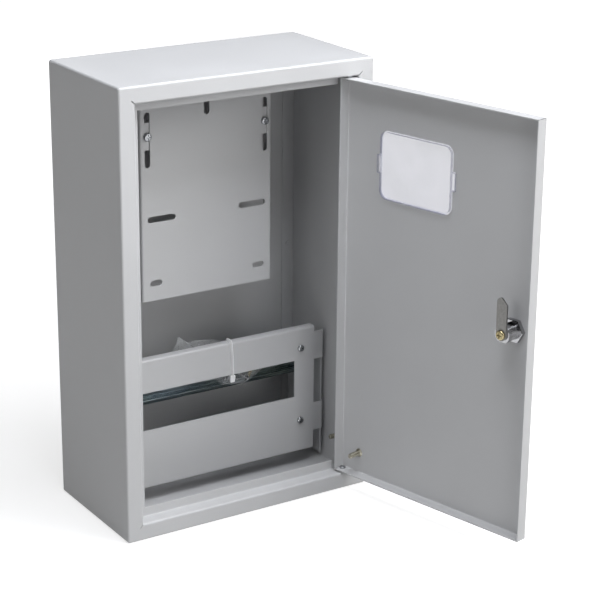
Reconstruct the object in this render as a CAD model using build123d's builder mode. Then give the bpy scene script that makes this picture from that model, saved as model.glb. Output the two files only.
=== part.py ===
from build123d import *
import os

# Wall-hung steel enclosure for an electricity meter and a row of DIN modules, door standing open.
# Millimetres. X to the right, Y towards the wall, Z up. The origin is the middle of the four wall
# holes, on the outer face of the back sheet, so the front frame lies at Y = -depth.

# Overall box
height = 500.0
width = 308.0
depth = 160.0
sheet = 1.2
corner_radius = 3.0
fold_radius = 2.4

# Front frame: face, step back for the door, and the lip behind the door
frame_face = 19.0
rebate_depth = 16.5
lip_width = 10.5
lip_stop = 16.0
mitre_length = 12.0
mitre_gap = 0.8

# Back
rear_flange = 16.2
back_inset = 1.5
wall_hole_diameter = 8.0
wall_hole_spacing_x = 220.0
wall_hole_spacing_z = 410.0

# Door
hinge_gap = 2.5
free_gap = 2.0
level_gap = 2.0
door_return = 14.2
door_corner_slit = 0.6
door_slit_length = 4.8
hinge_from_edge = 5.8
hinge_from_face = 6.3
door_open_angle = 103.4

# Hinge pins
pin_diameter = 4.0
pin_clearance = 0.08
pin_head_diameter = 7.2
pin_head_height = 1.8
pin_tail_diameter = 6.2
pin_tail_height = 1.2
pin_end_play = 0.2

# Reading window in the door
window_width = 100.0
window_height = 76.0
window_radius = 10.0
window_from_hinge = 99.4
window_below_top = 88.3
pane_fit = 0.3
pane_flange = 5.0
pane_thickness = 1.6
pane_wall = 1.5
pane_rise = 2.6
clip_height = 21.0
clip_reach = 3.4
clip_bar = 1.0
clip_thickness = 1.3

# Cam lock
lock_from_free_edge = 27.0
lock_rise = 0.0
lock_diameter = 19.0
lock_flats = 16.6
lock_fit = 0.2
lock_head_diameter = 23.0
lock_head_height = 2.6
lock_length = 22.2
plug_diameter = 12.0
plug_clearance = 0.1
plug_recess = 0.4
plug_head_diameter = 15.0
plug_head_height = 1.4
key_slot_width = 2.0
key_slot_height = 8.0
key_slot_depth = 14.0
square_size = 7.0
nut_size = 24.0
nut_thickness = 5.0
nut_bevel = 0.5
cam_thickness = 2.0
cam_width = 13.0
cam_reach = 40.0
cam_tip_radius = 5.0
cam_tip_chamfer = 7.0
cam_hole_fit = 0.15
cam_running_gap = 0.15
cam_screw_diameter = 4.0
cam_screw_head_diameter = 10.6
cam_screw_head_height = 2.8
cam_screw_length = 6.0

# Earthing studs
stud_diameter = 6.0
stud_length = 16.5
stud_bevel = 0.5
stud_collar_diameter = 10.5
stud_collar_thickness = 1.0
door_stud_from_hinge = 27.1
door_stud_above_base = 45.8
box_stud_behind_front = 48.5
box_stud_above_base = 43.0

# Meter panel
panel_behind_front = 93.0
panel_width = 164.6
panel_bottom = 234.6
panel_below_box_top = 29.4
panel_return = 15.0
panel_corner = 2.0
slot_width = 6.8
screw_slot_offset = 73.3
screw_slot_length = 61.0
screw_slot_below_top = 54.6
hook_slot_length = 25.0
hook_slot_below_top = 22.1
side_slot_length = 34.5
side_slot_offset = 57.0
side_slot_above_foot = 92.4
foot_slot_length = 15.0
foot_slot_offset = 65.0
foot_slot_above_foot = 19.9

# Stand-off brackets that carry the meter panel
standoff_height = 30.0
standoff_above_slot_centre = 3.8
standoff_tab = 12.0
standoff_foot = 16.0
standoff_bend = 2.0

# Breaker cover
cover_behind_front = 79.4
cover_side_gap = 19.4
cover_bottom = 18.8
cover_height = 153.4
cover_return = 9.5
cover_bend = 1.8
module_count = 12
module_width = 17.8
cutout_height = 45.0
cutout_centre = 111.0
cover_screw_inset = 18.6
cover_screw_top = 148.0
cover_screw_bottom = 58.3

# Side brackets behind the breaker cover
bracket_wall_gap = 5.3
bracket_bottom = 8.6
bracket_top = 164.4
bracket_tab_reach = 39.0
upper_tab_bottom = 130.5
lower_tab_bottom = 41.0
lower_tab_top = 75.5
bracket_rear_top = 134.0
bracket_notch = 3.6
bracket_foot_gap = 0.3
bracket_bend = 2.4
rail_tab_height = 30.0
rail_tab_reach = 26.0

# DIN rail
rail_stand_off = 19.3
rail_rise = 2.5
rail_height = 35.0
rail_hat = 27.0
rail_depth = 7.5
rail_thickness = 1.0
rail_bend = 0.8
rail_end_gap = 1.5

# Screws and rivets
panel_screw_diameter = 5.0
panel_screw_head_diameter = 9.4
panel_screw_head_height = 3.2
panel_screw_length = 10.0
cover_screw_diameter = 4.0
cover_screw_head_diameter = 8.2
cover_screw_head_height = 2.8
cover_screw_length = 9.0
rail_screw_diameter = 4.0
rail_screw_head_diameter = 7.6
rail_screw_head_height = 2.4
rail_screw_length = 7.0
recess_width = 1.3
recess_share = 0.6
recess_depth = 1.5
head_round = 0.6
hole_fit = 0.3
thread_fit = 0.05
rivet_diameter = 3.2
rivet_head_diameter = 6.4
rivet_head_height = 1.4
rivet_from_side = 9.0

# Cable tie round the cover's upper band, and the bag behind it, from the tie and the cover's top
tie_centre_x = 20.8
tie_width = 4.8
tie_thickness = 1.2
tie_clearance = 0.35
tie_slope = 9.0
tie_head_width = 6.4
tie_head_height = 9.0
tie_head_depth = 5.0
bag_gap = 0.3
bag_thickness = 13.0
bag_corner = 4.0
bag_edge = 3.0
bag_outline = [
    (-70.8, -8.2),
    (-64.3, 6.8),
    (-40.8, 3.8),
    (-6.8, -4.2),
    (39.2, -26.2),
    (54.2, -45.2),
    (26.2, -61.7),
    (-3.8, -54.2),
    (-50.8, -26.2),
]

# Values that follow from the sizes above
half_height = height / 2
opening_width = width - 2 * frame_face
opening_height = height - 2 * frame_face
inner_width = width - 2 * sheet
inner_height = height - 2 * sheet
door_width = opening_width - hinge_gap - free_gap
door_height = opening_height - 2 * level_gap
door_hinge_edge = opening_width / 2 - hinge_gap
door_centre_x = door_hinge_edge - door_width / 2
hinge_x = door_hinge_edge - hinge_from_edge
hinge_y = hinge_from_face - depth
hinge_axis = Axis((hinge_x, hinge_y, 0), (0, 0, 1))
window_x = door_hinge_edge - window_from_hinge
window_rise = door_height / 2 - window_below_top
lock_x = door_hinge_edge - door_width + lock_from_free_edge
fold_inside = fold_radius - sheet
back_face = depth - sheet
rivet_x = width / 2 - rivet_from_side
panel_top = height - panel_below_box_top
panel_back = panel_behind_front + sheet
standoff_screw_height = panel_top - screw_slot_below_top + standoff_above_slot_centre
cover_width = inner_width - 2 * cover_side_gap
cover_top = cover_bottom + cover_height
cutout_width = module_count * module_width
cover_back = cover_behind_front + sheet
cover_screw_x = cover_width / 2 - cover_screw_inset
web_x = inner_width / 2 - bracket_wall_gap - sheet / 2
web_inside = web_x - sheet / 2
rail_seat = back_face - rail_stand_off
rail_front = rail_seat - rail_depth
rail_screw_x = web_inside - rail_tab_reach / 2


def behind(distance):
    """Upright plane this far behind the front face, looking out of the box."""
    return Plane.XZ.offset(depth - distance)


def level(above_base):
    """Height above the base, as Z."""
    return above_base - half_height


def pan_screws(seat, spots, shank_diameter, length, head_diameter, head_height):
    """Cross-head screws facing out of the box, their heads seated this far behind the front."""
    with BuildPart() as screw_set:
        with BuildSketch(behind(seat)):
            with Locations(*spots):
                Circle(head_diameter / 2)
        extrude(amount=head_height)
        fillet(screw_set.edges().group_by(Axis.Y)[0], head_height * head_round)
        with BuildSketch(behind(seat)):
            with Locations(*spots):
                Circle(shank_diameter / 2)
        extrude(amount=-length)
        with BuildSketch(behind(seat - head_height)):
            with Locations(*spots):
                Rectangle(head_diameter * recess_share, recess_width)
                Rectangle(recess_width, head_diameter * recess_share)
        extrude(amount=-recess_depth, mode=Mode.SUBTRACT)
    return screw_set


def mirrored(piece):
    """The same piece for the other side of the box."""
    with BuildPart() as other_side:
        mirror(piece.part, about=Plane.YZ)
    return other_side


# Folded wrap: four sides, rear flanges, front frame, step for the door and its lip
with BuildPart() as wrap_hollow:
    with BuildSketch(behind(sheet)):
        RectangleRounded(inner_width, inner_height, corner_radius - sheet)
    extrude(amount=-(depth - 3 * sheet))
    fillet(wrap_hollow.faces().sort_by(Axis.Y)[0].edges(), fold_inside)

with BuildPart() as step_hollow:
    with BuildSketch(behind(0)):
        Rectangle(opening_width, opening_height)
    extrude(amount=-rebate_depth)
    fillet(step_hollow.faces().sort_by(Axis.Y)[-1].edges(), fold_inside)

with BuildPart() as step_pan:
    with BuildSketch(behind(0)):
        Rectangle(opening_width + 2 * sheet, opening_height + 2 * sheet)
    extrude(amount=-(rebate_depth + sheet))
    fillet(step_pan.faces().sort_by(Axis.Y)[-1].edges(), fold_radius)

with BuildPart() as body_wrap:
    with BuildSketch(behind(0)):
        RectangleRounded(width, height, corner_radius)
    extrude(amount=-back_face)
    fillet(body_wrap.faces().sort_by(Axis.Y)[0].edges(), fold_radius)
    add(wrap_hollow.part, mode=Mode.SUBTRACT)
    with BuildSketch(behind(back_face - sheet)):
        Rectangle(width - 2 * rear_flange, height - 2 * rear_flange)
    extrude(amount=-sheet, mode=Mode.SUBTRACT)
    add(step_pan.part)
    add(step_hollow.part, mode=Mode.SUBTRACT)
    fillet(
        body_wrap.faces().sort_by(Axis.Y)[0].inner_wires()[0].edges(),
        fold_radius,
    )
    # The lip runs round three sides and stops short of the hinge side
    lip_left = -opening_width / 2 + lip_width
    lip_right = opening_width / 2 - lip_stop
    with BuildSketch(behind(rebate_depth)):
        with Locations(((lip_left + lip_right) / 2, 0)):
            Rectangle(lip_right - lip_left, opening_height - 2 * lip_width)
    extrude(amount=-sheet, mode=Mode.SUBTRACT)
    with BuildSketch(behind(rebate_depth - fold_inside)):
        with Locations(((lip_right + opening_width / 2 + sheet) / 2, 0)):
            Rectangle(lip_stop + sheet, opening_height)
    extrude(amount=-(sheet + fold_inside), mode=Mode.SUBTRACT)
    # Open mitres at the inner corners of the frame
    with BuildSketch(behind(0)):
        for side_x, side_z in ((1, 1), (-1, 1), (1, -1), (-1, -1)):
            with Locations((side_x * opening_width / 2, side_z * opening_height / 2)):
                Rectangle(mitre_length, mitre_gap, rotation=45 * side_x * side_z)
    extrude(amount=-fold_radius, mode=Mode.SUBTRACT)
    # Holes for the hinge pins and for the rivets of the back sheet
    with BuildSketch(Plane.XY):
        with Locations((hinge_x, hinge_y)):
            Circle(pin_diameter / 2)
    extrude(amount=opening_height / 2 + 2 * sheet, both=True, mode=Mode.SUBTRACT)
    with BuildSketch(behind(back_face - sheet)):
        with Locations((-rivet_x, 0), (rivet_x, 0)):
            Circle(rivet_diameter / 2 + thread_fit)
    extrude(amount=-sheet, mode=Mode.SUBTRACT)

# Back sheet, lapped over the rear flanges, with the four wall holes
with BuildPart() as back_panel:
    with BuildSketch(behind(back_face)):
        RectangleRounded(width - 2 * back_inset, height - 2 * back_inset, corner_radius)
        with GridLocations(wall_hole_spacing_x, wall_hole_spacing_z, 2, 2):
            Circle(wall_hole_diameter / 2, mode=Mode.SUBTRACT)
        with Locations((-rivet_x, 0), (rivet_x, 0)):
            Circle(rivet_diameter / 2 + thread_fit, mode=Mode.SUBTRACT)
    extrude(amount=-sheet)

# Rivets that hold the back sheet to the flanges, domed inside the box
with BuildPart() as back_rivets:
    with BuildSketch(behind(back_face - sheet)):
        with Locations((-rivet_x, 0), (rivet_x, 0)):
            Circle(rivet_head_diameter / 2)
    extrude(amount=rivet_head_height)
    fillet(back_rivets.edges().group_by(Axis.Y)[0], rivet_head_height * head_round)
    with BuildSketch(behind(back_face - sheet)):
        with Locations((-rivet_x, 0), (rivet_x, 0)):
            Circle(rivet_diameter / 2)
    extrude(amount=-2 * sheet)

# Door: one folded tray with a return on all four sides
with BuildPart() as door_hollow:
    with BuildSketch(behind(sheet)):
        with Locations((door_centre_x, 0)):
            Rectangle(door_width - 2 * sheet, door_height - 2 * sheet)
    extrude(amount=-door_return)
    fillet(door_hollow.faces().sort_by(Axis.Y)[0].edges(), fold_inside)

with BuildPart() as door_leaf:
    with BuildSketch(behind(0)):
        with Locations((door_centre_x, 0)):
            Rectangle(door_width, door_height)
    extrude(amount=-door_return)
    fillet(door_leaf.faces().sort_by(Axis.Y)[0].edges(), fold_radius)
    add(door_hollow.part, mode=Mode.SUBTRACT)
    # The corners of the returns meet with a narrow slit
    with BuildSketch(behind(fold_radius)):
        for side_x, side_z in ((1, 1), (-1, 1), (1, -1), (-1, -1)):
            slit_x = door_centre_x + side_x * door_width / 2
            with Locations((slit_x, side_z * door_height / 2)):
                Rectangle(door_slit_length, door_corner_slit, rotation=45 * side_x * side_z)
    extrude(amount=-door_return, mode=Mode.SUBTRACT)
    # Holes for the window and its clips, the lock and the hinge pins
    with BuildSketch(behind(0)):
        with Locations((window_x, window_rise)):
            RectangleRounded(window_width, window_height, window_radius)
            Rectangle(window_width + 2 * clip_reach, clip_height)
    extrude(amount=-sheet, mode=Mode.SUBTRACT)
    with BuildSketch(behind(0)):
        with Locations((lock_x, lock_rise)):
            Circle(lock_diameter / 2 + lock_fit)
            Rectangle(2 * lock_diameter, lock_flats + 2 * lock_fit, mode=Mode.INTERSECT)
    extrude(amount=-sheet, mode=Mode.SUBTRACT)
    with BuildSketch(Plane.XY):
        with Locations((hinge_x, hinge_y)):
            Circle(pin_diameter / 2 + pin_clearance)
    extrude(amount=door_height / 2, both=True, mode=Mode.SUBTRACT)

# Clear window pane: flange outside, shallow box through the sheet, two looped clips behind it
with BuildPart() as window_pane:
    with BuildSketch(behind(0)):
        with Locations((window_x, window_rise)):
            RectangleRounded(
                window_width + 2 * pane_flange,
                window_height + 2 * pane_flange,
                window_radius + pane_flange,
            )
    extrude(amount=pane_thickness)
    fillet(window_pane.faces().sort_by(Axis.Y)[0].edges(), pane_thickness / 2)
    with BuildSketch(behind(0)):
        with Locations((window_x, window_rise)):
            RectangleRounded(
                window_width - 2 * pane_fit,
                window_height - 2 * pane_fit,
                window_radius - pane_fit,
            )
            RectangleRounded(
                window_width - 2 * (pane_fit + pane_wall),
                window_height - 2 * (pane_fit + pane_wall),
                window_radius - pane_fit - pane_wall,
                mode=Mode.SUBTRACT,
            )
    extrude(amount=-(sheet + pane_rise))
    clip_span = window_width + 2 * (clip_reach + clip_bar)
    clip_loop = clip_height - 2 * pane_fit
    with BuildSketch(behind(sheet + pane_fit)):
        with Locations((window_x, window_rise)):
            Rectangle(clip_span, clip_loop)
            Rectangle(clip_span - 2 * clip_bar, clip_loop - 2 * clip_bar, mode=Mode.SUBTRACT)
            Rectangle(
                window_width - 2 * pane_fit - pane_wall,
                clip_loop,
                mode=Mode.SUBTRACT,
            )
    extrude(amount=-clip_thickness)

# Lock housing: head outside, double-flat threaded body through the door
with BuildPart() as lock_housing:
    with BuildSketch(behind(0)):
        with Locations((lock_x, lock_rise)):
            Circle(lock_head_diameter / 2)
    extrude(amount=lock_head_height)
    fillet(lock_housing.edges().group_by(Axis.Y)[0], lock_head_height / 3)
    with BuildSketch(behind(0)):
        with Locations((lock_x, lock_rise)):
            Circle(lock_diameter / 2)
            Rectangle(2 * lock_diameter, lock_flats, mode=Mode.INTERSECT)
    extrude(amount=-(lock_length - cam_running_gap))
    with BuildSketch(behind(-lock_head_height)):
        with Locations((lock_x, lock_rise)):
            Circle(plug_diameter / 2 + plug_clearance)
    extrude(amount=-(lock_head_height + lock_length), mode=Mode.SUBTRACT)
    with BuildSketch(behind(-lock_head_height)):
        with Locations((lock_x, lock_rise)):
            Circle(plug_head_diameter / 2 + plug_clearance)
    extrude(amount=-(plug_recess + plug_head_height + plug_clearance), mode=Mode.SUBTRACT)

# Lock plug: keyed head outside, square end inside that drives the cam
with BuildPart() as lock_plug:
    with BuildSketch(behind(plug_recess - lock_head_height)):
        with Locations((lock_x, lock_rise)):
            Circle(plug_head_diameter / 2)
    extrude(amount=-plug_head_height)
    with BuildSketch(behind(plug_recess - lock_head_height)):
        with Locations((lock_x, lock_rise)):
            Circle(plug_diameter / 2)
    extrude(amount=-(lock_head_height - plug_recess + lock_length))
    with BuildSketch(behind(lock_length)):
        with Locations((lock_x, lock_rise)):
            Rectangle(square_size, square_size)
    extrude(amount=-cam_thickness)
    with BuildSketch(behind(plug_recess - lock_head_height)):
        with Locations((lock_x, lock_rise)):
            Rectangle(key_slot_width, key_slot_height)
    extrude(amount=-key_slot_depth, mode=Mode.SUBTRACT)
    with BuildSketch(behind(lock_length + cam_thickness)):
        with Locations((lock_x, lock_rise)):
            Circle(cam_screw_diameter / 2 + thread_fit)
    extrude(amount=cam_screw_length + hole_fit, mode=Mode.SUBTRACT)

# Hexagon nut that clamps the lock to the door
with BuildPart() as lock_nut:
    with BuildSketch(behind(sheet)):
        with Locations((lock_x, lock_rise)):
            RegularPolygon(nut_size / 2, 6, major_radius=False)
            Circle(lock_diameter / 2 + thread_fit, mode=Mode.SUBTRACT)
    extrude(amount=-nut_thickness)
    chamfer(lock_nut.edges().filter_by(GeomType.LINE).group_by(Axis.Y)[-1], nut_bevel)

# Cam: flat bar with a slanted tip and a square hole, standing upright
with BuildPart() as lock_cam:
    half_cam = cam_width / 2
    with BuildSketch(behind(lock_length)):
        with BuildLine():
            cam_sides = Polyline(
                (lock_x - half_cam, lock_rise),
                (lock_x - half_cam, lock_rise + cam_reach - cam_tip_chamfer),
                (lock_x - half_cam + cam_tip_chamfer, lock_rise + cam_reach),
                (lock_x + half_cam, lock_rise + cam_reach),
                (lock_x + half_cam, lock_rise),
            )
            ThreePointArc(cam_sides @ 1, (lock_x, lock_rise - half_cam), cam_sides @ 0)
        make_face()
        with Locations((lock_x, lock_rise)):
            square_hole = square_size + 2 * cam_hole_fit
            Rectangle(square_hole, square_hole, mode=Mode.SUBTRACT)
    extrude(amount=-cam_thickness)
    tip_corner = lock_cam.edges().filter_by(Axis.Y).group_by(Axis.Z)[-1].sort_by(Axis.X)[-1]
    fillet(tip_corner, cam_tip_radius)

# Screw that holds the cam on the plug
with BuildPart() as cam_screw:
    cam_back = lock_length + cam_thickness
    with BuildSketch(behind(cam_back)):
        with Locations((lock_x, lock_rise)):
            Circle(cam_screw_head_diameter / 2)
    extrude(amount=-cam_screw_head_height)
    fillet(cam_screw.edges().group_by(Axis.Y)[-1], cam_screw_head_height * head_round)
    with BuildSketch(behind(cam_back)):
        with Locations((lock_x, lock_rise)):
            Circle(cam_screw_diameter / 2)
    extrude(amount=cam_screw_length)
    with BuildSketch(behind(cam_back + cam_screw_head_height)):
        with Locations((lock_x, lock_rise)):
            Rectangle(cam_screw_head_diameter * recess_share, recess_width)
            Rectangle(recess_width, cam_screw_head_diameter * recess_share)
    extrude(amount=recess_depth, mode=Mode.SUBTRACT)

# Hinge pin: head above the door's return, shoulder in the gap, tail riveted under the frame
with BuildPart() as hinge_pin_bottom:
    return_bottom = -door_height / 2
    head_base = return_bottom + sheet + pin_end_play
    frame_step = -opening_height / 2
    with BuildSketch(Plane((hinge_x, hinge_y, 0), x_dir=(1, 0, 0), z_dir=(0, -1, 0))):
        with BuildLine():
            Polyline(
                (0, head_base + pin_head_height),
                (pin_head_diameter / 2, head_base + pin_head_height),
                (pin_head_diameter / 2, head_base),
                (pin_diameter / 2, head_base),
                (pin_diameter / 2, return_bottom - pin_end_play),
                (pin_head_diameter / 2, return_bottom - pin_end_play),
                (pin_head_diameter / 2, frame_step),
                (pin_diameter / 2, frame_step),
                (pin_diameter / 2, frame_step - sheet),
                (pin_tail_diameter / 2, frame_step - sheet),
                (pin_tail_diameter / 2, frame_step - sheet - pin_tail_height),
                (0, frame_step - sheet - pin_tail_height),
                close=True,
            )
        make_face()
    revolve(axis=hinge_axis, revolution_arc=360)
    fillet(hinge_pin_bottom.edges().group_by(Axis.Z)[-1], pin_head_height * head_round)

with BuildPart() as hinge_pin_top:
    mirror(hinge_pin_bottom.part, about=Plane.XY)

# Earthing stud welded inside the door, near the lower hinge
with BuildPart() as door_earth_stud:
    door_stud_spot = (door_hinge_edge - door_stud_from_hinge, level(door_stud_above_base))
    with BuildSketch(behind(sheet)):
        with Locations(door_stud_spot):
            Circle(stud_diameter / 2)
    extrude(amount=-stud_length)
    chamfer(door_earth_stud.edges().group_by(Axis.Y)[-1], stud_bevel)
    with BuildSketch(behind(sheet)):
        with Locations(door_stud_spot):
            Circle(stud_collar_diameter / 2)
    extrude(amount=-stud_collar_thickness)

# Earthing stud welded to the right-hand wall
with BuildPart() as box_earth_stud:
    box_stud_spot = (box_stud_behind_front - depth, level(box_stud_above_base))
    with BuildSketch(Plane.YZ.offset(inner_width / 2)):
        with Locations(box_stud_spot):
            Circle(stud_diameter / 2)
    extrude(amount=-stud_length)
    chamfer(box_earth_stud.edges().group_by(Axis.X)[0], stud_bevel)
    with BuildSketch(Plane.YZ.offset(inner_width / 2)):
        with Locations(box_stud_spot):
            Circle(stud_collar_diameter / 2)
    extrude(amount=-stud_collar_thickness)

# Meter panel: a channel with a return down each side, slotted for the meter and its own screws
with BuildPart() as meter_panel:
    panel_mid = panel_width / 2 - sheet / 2
    panel_y = panel_behind_front + sheet / 2 - depth
    with BuildSketch(Plane.XY.offset(level(panel_bottom))):
        with BuildLine():
            FilletPolyline(
                (-panel_mid, panel_y + panel_return - sheet / 2),
                (-panel_mid, panel_y),
                (panel_mid, panel_y),
                (panel_mid, panel_y + panel_return - sheet / 2),
                radius=panel_corner,
            )
        trace(line_width=sheet)
    extrude(amount=panel_top - panel_bottom)
    with BuildSketch(behind(panel_behind_front)):
        for side_x in (-1, 1):
            with Locations((side_x * screw_slot_offset, level(panel_top - screw_slot_below_top))):
                SlotOverall(screw_slot_length, slot_width, rotation=90)
            with Locations((side_x * side_slot_offset, level(panel_bottom + side_slot_above_foot))):
                SlotOverall(side_slot_length, slot_width)
            with Locations((side_x * foot_slot_offset, level(panel_bottom + foot_slot_above_foot))):
                SlotOverall(foot_slot_length, slot_width)
        with Locations((0, level(panel_top - hook_slot_below_top))):
            SlotOverall(hook_slot_length, slot_width, rotation=90)
    extrude(amount=-sheet, mode=Mode.SUBTRACT)

# Stand-off bracket: foot on the back sheet, leg, and a tapped tab behind the panel's long slot
with BuildPart() as panel_standoff_right:
    leg_x = screw_slot_offset - standoff_tab / 2
    tab_y = panel_back + sheet / 2 - depth
    foot_y = back_face - sheet / 2 - depth
    with BuildSketch(Plane.XY.offset(level(standoff_screw_height) - standoff_height / 2)):
        with BuildLine():
            FilletPolyline(
                (leg_x + standoff_tab, tab_y),
                (leg_x, tab_y),
                (leg_x, foot_y),
                (leg_x + standoff_foot, foot_y),
                radius=standoff_bend,
            )
        trace(line_width=sheet)
    extrude(amount=standoff_height)
    with BuildSketch(behind(panel_back)):
        with Locations((screw_slot_offset, level(standoff_screw_height))):
            Circle(panel_screw_diameter / 2 + thread_fit)
    extrude(amount=-sheet, mode=Mode.SUBTRACT)

panel_standoff_left = mirrored(panel_standoff_right)

panel_screws = pan_screws(
    panel_behind_front,
    [(side_x * screw_slot_offset, level(standoff_screw_height)) for side_x in (-1, 1)],
    panel_screw_diameter,
    panel_screw_length,
    panel_screw_head_diameter,
    panel_screw_head_height,
)

# Breaker cover: plate with a return along its top and bottom and the opening for the modules
cover_screw_levels = (level(cover_screw_bottom), level(cover_screw_top))
cover_screw_spots = [(side_x * cover_screw_x, z) for side_x in (-1, 1) for z in cover_screw_levels]
with BuildPart() as breaker_cover:
    cover_low = level(cover_bottom) + sheet / 2
    cover_high = level(cover_top) - sheet / 2
    cover_y = cover_behind_front + sheet / 2 - depth
    with BuildSketch(Plane.YZ.offset(-cover_width / 2)):
        with BuildLine():
            FilletPolyline(
                (cover_y + cover_return - sheet / 2, cover_low),
                (cover_y, cover_low),
                (cover_y, cover_high),
                (cover_y + cover_return - sheet / 2, cover_high),
                radius=cover_bend,
            )
        trace(line_width=sheet)
    extrude(amount=cover_width)
    with BuildSketch(behind(cover_behind_front)):
        with Locations((0, level(cutout_centre))):
            Rectangle(cutout_width, cutout_height)
        with Locations(*cover_screw_spots):
            Circle(cover_screw_diameter / 2 + hole_fit)
    extrude(amount=-sheet, mode=Mode.SUBTRACT)

cover_screws = pan_screws(
    cover_behind_front,
    cover_screw_spots,
    cover_screw_diameter,
    cover_screw_length,
    cover_screw_head_diameter,
    cover_screw_head_height,
)

# Side bracket: narrow foot on the rear flange, web, two front tabs for the cover and a lanced rail tab
rail_middle = level(cutout_centre + rail_rise)
with BuildPart() as cover_bracket_right:
    front_tab_y = cover_back + sheet / 2 - depth
    bracket_foot_y = back_face - sheet - sheet / 2 - depth
    with BuildSketch(Plane.XY.offset(level(bracket_bottom))):
        with BuildLine():
            FilletPolyline(
                (web_x - bracket_tab_reach + sheet / 2, front_tab_y),
                (web_x, front_tab_y),
                (web_x, bracket_foot_y),
                (inner_width / 2 - bracket_foot_gap, bracket_foot_y),
                radius=bracket_bend,
            )
        trace(line_width=sheet)
    extrude(amount=bracket_top - bracket_bottom)
    # The top slopes down from behind the front tabs to the back
    with BuildSketch(Plane.YZ.offset(web_x - sheet)):
        with BuildLine():
            Polyline(
                (cover_back + sheet + bracket_bend - depth, level(bracket_top)),
                (back_face - depth, level(bracket_rear_top)),
                (back_face - depth, level(bracket_top)),
                close=True,
            )
        make_face()
    extrude(amount=bracket_wall_gap + 2 * sheet, mode=Mode.SUBTRACT)
    # Between and below the two tabs the front flange is cut back to the web
    for gap_low, gap_high in ((bracket_bottom, lower_tab_bottom), (lower_tab_top, upper_tab_bottom)):
        with BuildSketch(behind(cover_back)):
            with Locations((web_x - bracket_tab_reach / 2, level((gap_low + gap_high) / 2))):
                Rectangle(bracket_tab_reach + 2 * sheet, gap_high - gap_low)
        extrude(amount=-bracket_notch, mode=Mode.SUBTRACT)
    # The rail tab is cut out of the web and folded inwards
    with BuildSketch(behind(rail_seat - rail_tab_reach)):
        with Locations((web_x, rail_middle)):
            Rectangle(2 * sheet, rail_tab_height)
    extrude(amount=-rail_tab_reach, mode=Mode.SUBTRACT)
    with BuildSketch(behind(rail_seat)):
        with Locations((rail_screw_x + sheet / 2, rail_middle)):
            Rectangle(rail_tab_reach + sheet, rail_tab_height)
    extrude(amount=-sheet)
    with BuildSketch(behind(cover_back)):
        with Locations(*[(cover_screw_x, z) for z in cover_screw_levels]):
            Circle(cover_screw_diameter / 2 + thread_fit)
    extrude(amount=-sheet, mode=Mode.SUBTRACT)
    with BuildSketch(behind(rail_seat)):
        with Locations((rail_screw_x, rail_middle)):
            Circle(rail_screw_diameter / 2 + thread_fit)
    extrude(amount=-sheet, mode=Mode.SUBTRACT)

cover_bracket_left = mirrored(cover_bracket_right)

# Top-hat rail between the two side brackets
rail_spots = [(side_x * rail_screw_x, rail_middle) for side_x in (-1, 1)]
with BuildPart() as din_rail:
    rail_half_length = web_inside - rail_end_gap
    rail_front_y = rail_front + rail_thickness / 2 - depth
    rail_back_y = rail_seat - rail_thickness / 2 - depth
    hat_half = rail_hat / 2 - rail_thickness / 2
    with BuildSketch(Plane.YZ.offset(-rail_half_length)):
        with BuildLine():
            FilletPolyline(
                (rail_front_y, rail_middle + rail_height / 2),
                (rail_front_y, rail_middle + hat_half),
                (rail_back_y, rail_middle + hat_half),
                (rail_back_y, rail_middle - hat_half),
                (rail_front_y, rail_middle - hat_half),
                (rail_front_y, rail_middle - rail_height / 2),
                radius=rail_bend,
            )
        trace(line_width=rail_thickness)
    extrude(amount=2 * rail_half_length)
    with BuildSketch(behind(rail_seat - rail_thickness)):
        with Locations(*rail_spots):
            Circle(rail_screw_diameter / 2 + hole_fit)
    extrude(amount=-rail_thickness, mode=Mode.SUBTRACT)

rail_screws = pan_screws(
    rail_seat - rail_thickness,
    rail_spots,
    rail_screw_diameter,
    rail_screw_length,
    rail_screw_head_diameter,
    rail_screw_head_height,
)

# Cable tie: a closed strap round the cover's upper band, its head under the opening's edge
with BuildPart() as cable_tie:
    band_front = cover_behind_front - tie_clearance - depth
    band_back = cover_behind_front + cover_return + tie_clearance - depth
    sheet_back = cover_back + tie_clearance - depth
    band_top = level(cover_top) + tie_clearance
    band_bottom = level(cutout_centre + cutout_height / 2) - tie_clearance
    with BuildSketch(Plane.YZ.offset(tie_centre_x - tie_width / 2)):
        with BuildLine():
            Polyline(
                (band_front, band_bottom),
                (band_front, band_top),
                (band_back, band_top),
                (band_back, band_top - tie_slope),
                (sheet_back, band_bottom),
                close=True,
            )
        band_inside = make_face(mode=Mode.PRIVATE)
        offset(band_inside, amount=tie_thickness)
        add(band_inside, mode=Mode.SUBTRACT)
    extrude(amount=tie_width)
    with BuildSketch(Plane.XY.offset(band_bottom)):
        with Locations((tie_centre_x, (band_front + sheet_back) / 2)):
            RectangleRounded(tie_head_width, tie_head_depth, tie_thickness)
    extrude(amount=-(tie_thickness + tie_head_height))

# Bag of fittings, soft and slanting, hanging behind the cover's upper band
with BuildPart() as fittings_bag:
    bag_front = cover_behind_front + cover_return + tie_clearance + tie_thickness + bag_gap
    with BuildSketch(behind(bag_front)) as bag_shape:
        with BuildLine():
            Polyline(*[(tie_centre_x + x, level(cover_top) + z) for x, z in bag_outline], close=True)
        make_face()
        fillet(bag_shape.vertices(), bag_corner)
    extrude(amount=-bag_thickness)
    bag_rims = fittings_bag.edges().group_by(Axis.Y)
    fillet(bag_rims[0] + bag_rims[-1], bag_edge)

# The door and all it carries stand open at rest, turned about the hinge axis
for door_piece in (
    door_leaf,
    window_pane,
    lock_housing,
    lock_nut,
    lock_plug,
    lock_cam,
    cam_screw,
    door_earth_stud,
):
    door_piece.part = door_piece.part.rotate(hinge_axis, door_open_angle)

os.makedirs("parts", exist_ok=True)

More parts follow.
